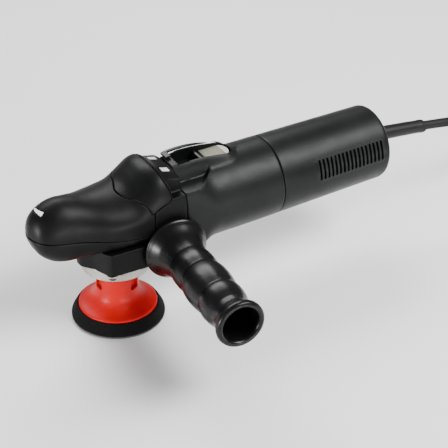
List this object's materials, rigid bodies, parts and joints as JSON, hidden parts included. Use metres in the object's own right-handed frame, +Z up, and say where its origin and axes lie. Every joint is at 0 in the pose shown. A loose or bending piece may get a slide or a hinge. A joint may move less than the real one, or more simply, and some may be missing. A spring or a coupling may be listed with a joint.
{
  "type": "rotary polisher",
  "caption": "Compact mains rotary polisher: barrel motor, right-angle gear head, screw-in side handle, backing plate with foam cushion, sliding switch and lead.",
  "frame": {"origin": "centre of the pad's hook face, on the spindle axis", "axes": "+Z up the spindle, +X from the spindle towards the motor's tail, the side handle to -Y"},
  "size_m": [0.5665, 0.1899, 0.1318],
  "materials": {
    "soft_black": "soft matte over-mould",
    "painted_black": "satin paint on cast metal",
    "grained_black": "fine-grained moulded plastic",
    "gloss_black": "polished moulding",
    "rubber_black": "smooth rubber",
    "red_plastic": "satin moulded plastic",
    "foam_black": "closed-cell foam",
    "hook_grey": "hook fabric",
    "cast_silver": "cast and machined",
    "dark_steel": "blackened",
    "steel": "ground",
    "bearing_steel": "polished",
    "lamination": "stacked sheet",
    "copper": "enamelled copper",
    "carbon": "carbon",
    "brass": "bent sheet",
    "white_inlay": "printed inlay",
    "grey_inlay": "moulded inlay",
    "cream_plastic": "ribbed moulding",
    "board_green": "circuit board",
    "inner_nylon": "moulded nylon"
  },
  "bodies": {
    "housing": {"head_cover": "soft_black", "rotation_arrow": "white_inlay", "saddle_cover": "soft_black", "head_lower_shell": "soft_black", "index_mark_near": "grey_inlay", "index_mark_far": "grey_inlay", "gearbox_housing": "painted_black", "bearing_flange": "cast_silver", "flange_screw_1": "dark_steel", "flange_screw_2": "dark_steel", "flange_screw_3": "dark_steel", "flange_screw_4": "dark_steel", "shaft_front_bearing": "bearing_steel", "shaft_rear_bearing": "bearing_steel", "spindle_lower_bearing": "bearing_steel", "spindle_upper_bearing": "bearing_steel", "gear_plate": "cast_silver", "front_motor_bearing": "bearing_steel", "rear_motor_bearing": "bearing_steel", "stator_core": "lamination", "field_coil_upper": "copper", "field_coil_lower": "copper", "air_baffle": "inner_nylon", "brush_holder_near": "brass", "carbon_brush_near": "carbon", "brush_holder_far": "brass", "carbon_brush_far": "carbon", "motor_housing": "grained_black", "rear_housing": "grained_black", "switch_guard": "gloss_black", "switch_module": "rubber_black", "speed_board": "board_green", "handle_grip": "gloss_black", "handle_stud": "steel", "cord_boot": "rubber_black", "mains_cord": "rubber_black", "cord_coil": "rubber_black", "coil_tie": "gloss_black", "mains_plug": "rubber_black"},
    "armature": {"armature_shaft": "steel", "armature_core": "lamination", "armature_winding": "copper", "commutator": "copper", "cooling_fan": "inner_nylon", "motor_pinion": "steel"},
    "intermediate": {"intermediate_shaft": "steel", "intermediate_gear": "steel", "bevel_pinion": "steel"},
    "spindle_group": {"spindle": "steel", "bevel_gear": "dark_steel", "plate_nut": "steel", "backing_plate": "red_plastic", "foam_cushion": "foam_black", "hook_face": "hook_grey"},
    "switch": {"switch_thumb_pad": "cream_plastic", "switch_slider": "gloss_black", "switch_link": "inner_nylon"},
    "dial": {"speed_dial": "gloss_black"},
    "lock": {"lock_button": "gloss_black"}
  },
  "joints": [
    {"name": "motor_spin", "type": "hinge", "parent": "housing", "child": "armature", "pos_m": [0, 0, 0.085], "axis": [1, 0, 0], "continuous": true},
    {"name": "intermediate_spin", "type": "hinge", "parent": "housing", "child": "intermediate", "pos_m": [0, 0, 0.1034], "axis": [1, 0, 0], "continuous": true},
    {"name": "spindle_spin", "type": "hinge", "parent": "housing", "child": "spindle_group", "pos_m": [0, 0, 0], "axis": [0, 0, 1], "continuous": true},
    {"name": "switch_slide", "type": "slide", "parent": "housing", "child": "switch", "axis": [-1, 0, 0], "range_m": [0, 0.01]},
    {"name": "dial_turn", "type": "hinge", "parent": "housing", "child": "dial", "pos_m": [0.2382, 0, 0.068], "axis": [0, 1, 0], "range_deg": [0, 270]},
    {"name": "lock_press", "type": "slide", "parent": "housing", "child": "lock", "axis": [0, -1, 0], "range_m": [0, 0.005], "stiffness_N_per_m": 400, "springref_m": -0.002}
  ],
  "couplings": [
    {"joint": "intermediate_spin", "follows": "motor_spin", "ratio": -0.27778},
    {"joint": "spindle_spin", "follows": "motor_spin", "ratio": -0.083333}
  ]
}
